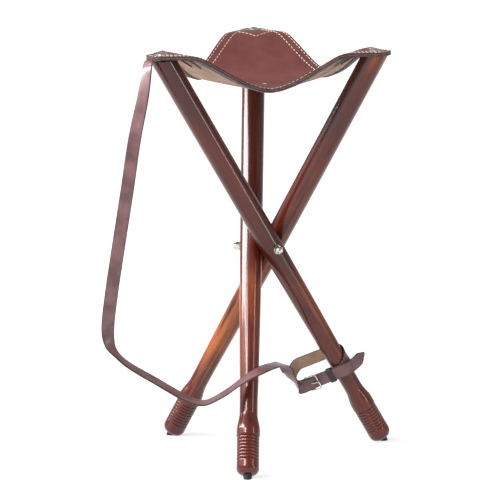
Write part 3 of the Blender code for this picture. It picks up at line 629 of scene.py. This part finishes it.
def buildStitches(name, line, hand):
    # each stitch is a small spindle: half lengths along the row, across it and up from the hide
    inward = -outward()
    rows = []
    for depth in stitch["rows"]:
        row = outline + inward * depth
        rows.append(row[edgeDistance(row) > depth * 0.97])  # not where the row nears another stretch of edge
    veeW = np.linspace(-stitch["veeHalf"], stitch["veeHalf"], stitch["veePoints"])
    rows.append(np.stack([topReach - stitch["veeAt"] + stitch["veeLean"] * np.abs(veeW), veeW], -1))
    spots, ways = zip(*[along(row, stitch["pitch"]) for row in rows])
    sw, way = np.concatenate(spots), np.concatenate(ways)
    here = (sw[:, 1] >= 0) == (hand > 0)
    sw, way = sw[here], way[here]
    middle, normal = seatPoints(flatPoint(line, sw), 0.0)
    ahead, _ = seatPoints(flatPoint(line, sw + unit(way) * 0.001), 0.0)
    lengthWay = unit(ahead - middle)
    acrossWay = np.cross(normal, lengthWay)
    rings, sides = stitch["rings"], stitch["sides"]
    turns = np.arange(sides) * 2 * math.pi / sides
    turn, rise = np.meshgrid(turns, np.linspace(0, math.pi, rings), indexing="xy")
    thick = np.sin(rise) ** stitch["blunt"]
    shape = np.stack([np.cos(rise), thick * np.cos(turn), thick * np.sin(turn)], -1).reshape(-1, 3)
    a, b, c = stitch["length"] / 2, stitch["width"] / 2, stitch["height"] / 2
    points = (
        middle[:, None]
        + shape[None, :, :1] * lengthWay[:, None] * a
        + shape[None, :, 1:2] * acrossWay[:, None] * b
        + (shape[None, :, 2:] * c + c * stitch["lift"]) * normal[:, None]
    )
    faces = gridFaces(rings, sides, False, True)
    faces = (np.arange(len(middle))[:, None, None] * len(shape) + faces[None]).reshape(-1, 4)
    return makePiece(name, points, faces, [threadLook])


for side, line in lines.items():
    for hand in hands:
        tag = side + ("_1" if hand < 0 else "_2")
        hide = buildSeatHalf("seatHide_" + tag, line, hand)
        patchHalf, patchSize = buildPatchHalf("cornerPatch_" + tag, line, hand)
        stitches = buildStitches("seatStitches_" + tag, line, hand)
        for piece in (hide, patchHalf, stitches):
            hang(piece, side, hand)
        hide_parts("corner_patch_" + side)


# strap, loop and keeper: flat bands with eased edges, swept along their routes
band = {"width": 0.018, "thick": 0.0022, "tailPoint": 0.016, "tailEnd": 0.003, "ease": 0.0006, "perSpan": 10}


def eased(points):
    # a smooth curve through the points (Catmull-Rom), each span split evenly
    points = np.asarray(points, float)
    padded = np.vstack([2 * points[0] - points[1], points, 2 * points[-1] - points[-2]])
    t = (np.arange(band["perSpan"]) / band["perSpan"])[None, :, None]
    a, b, c, d = (padded[i : len(padded) - 3 + i, None] for i in range(4))
    curve = 0.5 * (2 * b + (c - a) * t + (2 * a - 5 * b + 4 * c - d) * t**2 + (3 * b - a - 3 * c + d) * t**3)
    return np.vstack([curve.reshape(-1, 3), points[-1:]])


def bandSection(thick):
    # round a flat band: the share of its half width, what is added to that, and the height over its middle
    halfThick, ease = thick / 2, band["ease"]
    turn = np.linspace(0, math.pi / 2, 4)
    flat = np.linspace(-1, 1, 7)[1:-1]
    corner = np.stack([-ease + ease * np.sin(turn), halfThick - ease + ease * np.cos(turn)], -1)
    rows = [(f, 0.0, halfThick) for f in flat]
    rows += [(1, a, b) for a, b in corner] + [(1, a, -b) for a, b in corner[::-1]]
    rows += [(-f, 0.0, -halfThick) for f in flat]
    rows += [(-1, -a, -b) for a, b in corner] + [(-1, -a, b) for a, b in corner[::-1]]
    return np.array(rows)


def ribbon(name, route, ways, widths, thick, look, closed=False, insideLook=None, part=slice(None)):
    # a flat section carried along a middle line, with the way across and the width given at each point
    if closed:
        ahead = unit(np.roll(route, -1, 0) - np.roll(route, 1, 0))
    else:
        ahead = unit(np.gradient(route, axis=0))
    ways = unit(ways - ahead * (ways * ahead).sum(1)[:, None])
    out = np.cross(ahead, ways)
    halfWide = np.broadcast_to(np.asarray(widths) / 2, len(route))[:, None]
    section = bandSection(thick)
    wide = halfWide * section[None, :, 0] + section[None, :, 1]
    points = (route[:, None] + ways[:, None] * wide[..., None] + out[:, None] * section[None, :, 2:3])[part]
    count, length = len(section), len(points)
    faces = gridFaces(length, count, closed, True)[:, ::-1].tolist()
    if not closed:
        faces += [list(range(count)), list(range(length * count - 1, (length - 1) * count - 1, -1))]
    # 0 at the middle, 1 at the edge, and 0.95 where the corner's easing starts
    share = np.abs(section[:, 0])
    corner = np.where(share == 1, section[:, 1] * np.sign(section[:, 0]) / band["ease"] * 0.05, 0)
    inner = section[:, 2] > thick / 2 * 0.99
    faceLooks = [int(all(inner[i % count] for i in f)) for f in faces]
    values = {"across": np.tile(share + corner, length)}
    piece = makePiece(name, points, faces, [look, insideLook or look], faceLooks, values)
    piece.data.set_sharp_from_angle(angle=math.radians(55))
    return piece


# the loop's frame on the left leg: b along the loop, n out from the leg's line, d up the leg
loop = {
    "at": 0.2065,  # down the leg from the crossing
    "turn": 50.0,
    "reach": 0.056,
    "rise": 0.020,  # its far side is this much higher up the leg
    "wire": 0.0011,  # the buckle wire's radius
    "barAt": 0.050,
    "buckleLength": 0.017,
    "keeperAt": 0.013,
    "clearance": 0.0003,
    "layGap": 0.0002,  # between layers
}
left = lines["left"]
mHat = math.cos(splay) * left.t - math.sin(splay) * up
turn = math.radians(loop["turn"])
bHat = math.cos(turn) * left.e - math.sin(turn) * mHat
nHat = math.sin(turn) * left.e + math.cos(turn) * mHat
loopMiddle = left.hub - loop["at"] * left.d
upperEdge = loop["at"] - band["width"] / 2 - loop["rise"]  # where the leg is thickest inside it
inner = float(legRadius(stance["below"] - upperEdge)) + loop["clearance"]
outer = inner + band["thick"]
underBar = outer + loop["layGap"] + band["thick"] / 2
overBar = outer + loop["layGap"] + 2 * loop["wire"] + loop["clearance"] + band["thick"] / 2
freeAt = loop["barAt"] - loop["buckleLength"]


def onLoop(b, n, d=0.0):
    return loopMiddle + b * bHat + n * nHat + d * left.d


# the strap's route: from under the seat's left corner, over its lip, down to a low bend and into the buckle
strap = {"underSeat": 0.012, "lipAt": 0.017, "lipEase": 0.008, "entry": (-0.0152, -0.0217, 0.0065)}
# share of the way from the lip to the buckle, the distance from that straight line, and the way across
hanging = (
    (0.00, (-0.0030, -0.0023, -0.0006), (0.60, -0.80, 0.00)),
    (0.00, (-0.0054, -0.0046, -0.0046), (0.62, -0.78, 0.00)),
    (0.02, (-0.0104, -0.0132, -0.0059), (0.72, -0.69, 0.00)),
    (0.06, (-0.0233, -0.0260, -0.0213), (0.88, -0.47, 0.03)),
    (0.13, (-0.0480, -0.0428, -0.0437), (0.97, -0.22, 0.10)),
    (0.21, (-0.0737, -0.0577, -0.0742), (1.00, -0.05, 0.15)),
    (0.30, (-0.1022, -0.0712, -0.1007), (1.00, 0.05, 0.16)),
    (0.38, (-0.1286, -0.0822, -0.1324), (1.00, 0.08, 0.16)),
    (0.44, (-0.1462, -0.0898, -0.1529), (0.96, 0.25, 0.10)),
    (0.47, (-0.1502, -0.0938, -0.1640), (0.72, 0.68, 0.00)),
    (0.50, (-0.1460, -0.0976, -0.1668), (0.22, 0.97, 0.10)),
    (0.52, (-0.1323, -0.1008, -0.1727), (0.05, 0.97, 0.22)),
    (0.57, (-0.1078, -0.1099, -0.1692), (0.00, 0.95, 0.30)),
    (0.62, (-0.0791, -0.1199, -0.1676), (0.00, 0.95, 0.30)),
    (0.65, (-0.0575, -0.1259, -0.1623), (0.00, 0.98, 0.20)),
    (0.68, (-0.0371, -0.1327, -0.1367), (-0.05, 0.97, 0.22)),
    (0.72, (-0.0197, -0.1442, -0.0995), (-0.18, 0.96, 0.18)),
    (0.75, (-0.0064, -0.1460, -0.0742), (-0.48, 0.85, 0.22)),
    (0.78, (0.0035, -0.1299, -0.0561), (-0.88, 0.42, 0.20)),
    (0.84, (0.0040, -0.0895, -0.0338), (-0.97, 0.08, 0.20)),
    (0.90, (0.0005, -0.0473, -0.0157), (-0.93, -0.05, 0.34)),
)
# into the buckle: the distance past its bar, out from it and up the leg, and the share of the twist
entering = (
    (-0.0075, 0.0190, 0.0360, 0.35),
    (-0.0100, 0.0105, 0.0170, 0.70),
    (-0.0105, 0.0045, 0.0050, 0.95),
    (-0.0080, 0.0014, 0.0006, 1.00),
    (-0.0045, 0.0004, 0.0000, 1.00),
    (0.0010, 0.0000, 0.0000, 1.00),
)
# past the buckle: the distance along the loop and out from its outer face
tail = (
    (-freeAt - 0.003, 0.0),
    (-freeAt + 0.003, 0.0),
    (-0.019, 0.0),
    (-0.007, 0.0),
    (-0.002, 0.0),
    (0.010, -0.0009),
    (0.020, -0.0060),
    (0.028, -0.0150),
    (0.035, -0.0300),
)
clamp = left.top * (1, 1, 0) + up * (stance["legTopZ"] - band["thick"] / 2)
lip = clamp + left.out * strap["lipAt"]
entryB, entryN, entryD = strap["entry"]
entry = onLoop(entryB - loop["barAt"], overBar + entryN, entryD)
underSeat = (clamp - left.out * strap["underSeat"], clamp, lip - left.out * strap["lipEase"], lip)
lastWay = np.array(hanging[-1][2])
knots = [(spot, left.sideWay) for spot in underSeat]
knots += [(lip + (entry - lip) * share + off, unit(way)) for share, off, way in hanging]
for b, n, d, twist in entering:
    knots.append((onLoop(b - loop["barAt"], overBar + n, d), lastWay + (left.d - lastWay) * twist))
knots += [(onLoop(b, underBar + n), left.d) for b, n in tail]
route = eased([spot for spot, _ in knots])
ways = eased([way for _, way in knots])
gone = np.concatenate([[0], np.cumsum(np.linalg.norm(np.diff(route, axis=0), axis=1))])
widths = band["width"] * np.clip((gone[-1] - gone + band["tailEnd"]) / band["tailPoint"], 0.15, 1)

# two runs that meet at the low bend, split at the knot given below
# the other values, heights and knots between which each run was to follow the left leg, are not used
lowBend = {"knot": 19, "stillBelow": 0.16, "followsAbove": 0.55, "stillTo": 24, "followsFrom": 28}
split = lowBend["knot"] * band["perSpan"]
upperPart, lowerPart = slice(None, split + 1), slice(split, None)
upperRun = ribbon("carryStrap_upper", route, ways, widths, band["thick"], strapLook, part=upperPart)
lowerRun = ribbon("carryStrap_lower", route, ways, widths, band["thick"], strapLook, part=lowerPart)
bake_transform(upperRun)
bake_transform(lowerRun)
for run in (upperRun, lowerRun):
    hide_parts("carry_strap")

# the loop: a belt round the leg and an equal circle beside it, its far side higher up the leg
middle = inner + band["thick"] / 2
far = (-loop["reach"], 0)
turn = np.linspace(-math.pi / 2, math.pi / 2, 32)
halfRound = middle * np.stack([np.cos(turn), np.sin(turn)], -1)
straight = np.linspace(0, 1, 14)[1:-1, None] * far
belt = np.concatenate([halfRound, (0, middle) + straight, far - halfRound, (far[0], -middle) - straight])
lift = loop["rise"] * (middle - belt[:, 1]) / (2 * middle)
beltRoute = np.array([onLoop(b, n, d) for (b, n), d in zip(belt, lift)])
beltWays = np.tile(left.d, (len(belt), 1))
legLoop = ribbon("legLoop", beltRoute, beltWays, band["width"], band["thick"], strapLook, True, loopUnderLook)
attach(legLoop, "left_leg")
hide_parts("leg_loop")

# the keeper: a narrow closed band round the loop and the strap, its corners rounded
keeper = {"width": 0.0085, "wall": 0.0014, "gap": 0.0003, "round": 0.0012}
wall = keeper["wall"]
low = inner - loop["layGap"] - wall / 2
high = underBar + band["thick"] / 2 + loop["layGap"] + wall / 2
wide = band["width"] / 2 + keeper["gap"] + wall / 2
corners = ((low, -wide, math.pi), (high, -wide, -math.pi / 2), (high, wide, 0), (low, wide, math.pi / 2))
ring = []
for n, d, first in corners:
    angle = first + np.linspace(0, math.pi / 2, 6)
    centre = np.array([n, d]) - keeper["round"] * np.sign([n - (low + high) / 2, d])
    ring.append(centre + keeper["round"] * np.stack([np.cos(angle), np.sin(angle)], -1))
ring = np.concatenate(ring)
keeperRoute = np.array([onLoop(-loop["keeperAt"], n, d) for n, d in ring])
keeperWays = np.tile(bHat, (len(ring), 1))
strapKeeper = ribbon("strapKeeper", keeperRoute, keeperWays, keeper["width"], wall, keeperLook, True)
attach(strapKeeper, "left_leg")
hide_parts("strap_keeper")

print("strap:", round(float(gone[-1]), 4), "m long, its upper run", round(float(gone[split]), 4), "m")

# floor: white to the camera and in reflections, a little less so near the stool, and grey in the lamps' light
studio = {"half": 20, "grey": 0.42, "nearGlow": 0.7, "glowFrom": 0.4, "glowTo": 2.0, "world": 0.4}
floorMesh = bpy.data.meshes.new("floor")
floorCorners = [(x * studio["half"], y * studio["half"], 0) for x, y in ((-1, -1), (1, -1), (1, 1), (-1, 1))]
floorMesh.from_pydata(floorCorners, [], [(0, 1, 2, 3)])
floor = bpy.data.objects.new("floor", floorMesh)
bpy.context.scene.collection.objects.link(floor)
floorLook = bpy.data.materials.new("floor")
floorLook.use_nodes = True
tree = floorLook.node_tree
tree.nodes.clear()
start = Wire(tree)
rayKinds = ("Is Camera Ray", "Is Glossy Ray", "Is Transmission Ray")
rays = [start.make("ShaderNodeLightPath", {}, kind) for kind in rayKinds]
seen = (rays[0] + rays[1] + rays[2]).between(0.0, 1.0)
away = start.make("ShaderNodeVectorMath", {0: start.objectPlace()}, "Value", operation="LENGTH")
away = away.between(studio["glowFrom"], studio["glowTo"])
strength = seen * (away * (1 - studio["nearGlow"]) + studio["nearGlow"])
glow = start.make("ShaderNodeEmission", {"Color": (1, 1, 1, 1), "Strength": strength})
plain = start.make("ShaderNodeBsdfDiffuse", {"Color": (*[studio["grey"]] * 3, 1)})
both = start.make("ShaderNodeAddShader", {0: glow, 1: plain})
output = tree.nodes.new("ShaderNodeOutputMaterial")
tree.links.new(both.socket, output.inputs["Surface"])
floorMesh.materials.append(floorLook)
floor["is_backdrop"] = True

world = bpy.data.worlds.new("studio")
bpy.context.scene.world = world
world.use_nodes = True
world.node_tree.nodes["Background"].inputs["Color"].default_value = (1, 1, 1, 1)
world.node_tree.nodes["Background"].inputs["Strength"].default_value = studio["world"]

# lamps: place, what they point at, width, height, watts, and the turn about their own line
lamps = (
    ("key", (-1.6, -2.2, 2.3), (0, 0, 0.35), 0.9, 0.9, 48, 0),
    ("softLeft", (-1.9, -0.25, 1.43), (-0.03, 0, 0.35), 2.2, 0.45, 70, 30),
    ("stripRight", (2.0, -0.9, 0.8), (0, 0, 0.35), 0.16, 1.8, 10, 0),
)


def aimed(holder, spot, aim, tilt):
    # at its spot, looking down its own z at the aim, then turned about that line
    bpy.context.scene.collection.objects.link(holder)
    turned = (Vector(spot) - Vector(aim)).to_track_quat("Z", "Y").to_matrix().to_4x4()
    holder.matrix_world = Matrix.Translation(spot) @ turned @ Matrix.Rotation(math.radians(tilt), 4, "Z")


for name, spot, aim, wide, tall, power, tilt in lamps:
    lamp = bpy.data.lights.new(name, "AREA")
    lamp.shape = "RECTANGLE"
    lamp.size, lamp.size_y, lamp.energy = wide, tall, power
    holder = bpy.data.objects.new(name, lamp)
    aimed(holder, spot, aim, tilt)
    holder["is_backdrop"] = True

# camera: metres, degrees, and the focal length and middle in the picture's pixels
view = {
    "distance": 6.274,
    "elevation": 9.98,
    "yaw": 2.26,
    "roll": -0.48,
    "focal": 4538.0,
    "middle": (265.5, 245.8),
    "pixels": 500,
    "sensor": 36.0,
}
camera = bpy.data.objects.new("camera", bpy.data.cameras.new("camera"))
rise, yaw = math.radians(view["elevation"]), math.radians(view["yaw"])
back = Matrix.Rotation(yaw, 3, "Z") @ Vector((0, -math.cos(rise), math.sin(rise)))
aimed(camera, Vector(hub) + back * view["distance"], hub, view["roll"])
camera.data.sensor_width = view["sensor"]
camera.data.lens = view["focal"] * view["sensor"] / view["pixels"]
camera.data.shift_x = (view["pixels"] / 2 - view["middle"][0]) / view["pixels"]
camera.data.shift_y = (view["middle"][1] - view["pixels"] / 2) / view["pixels"]
camera.data.clip_end = 100
bpy.context.scene.camera = camera
bpy.context.scene.view_settings.view_transform = "Standard"
print("floor, lamps and camera: placed")

low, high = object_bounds()
print("size: visual", [round(float(v), 4) for v in (*low, *high)])
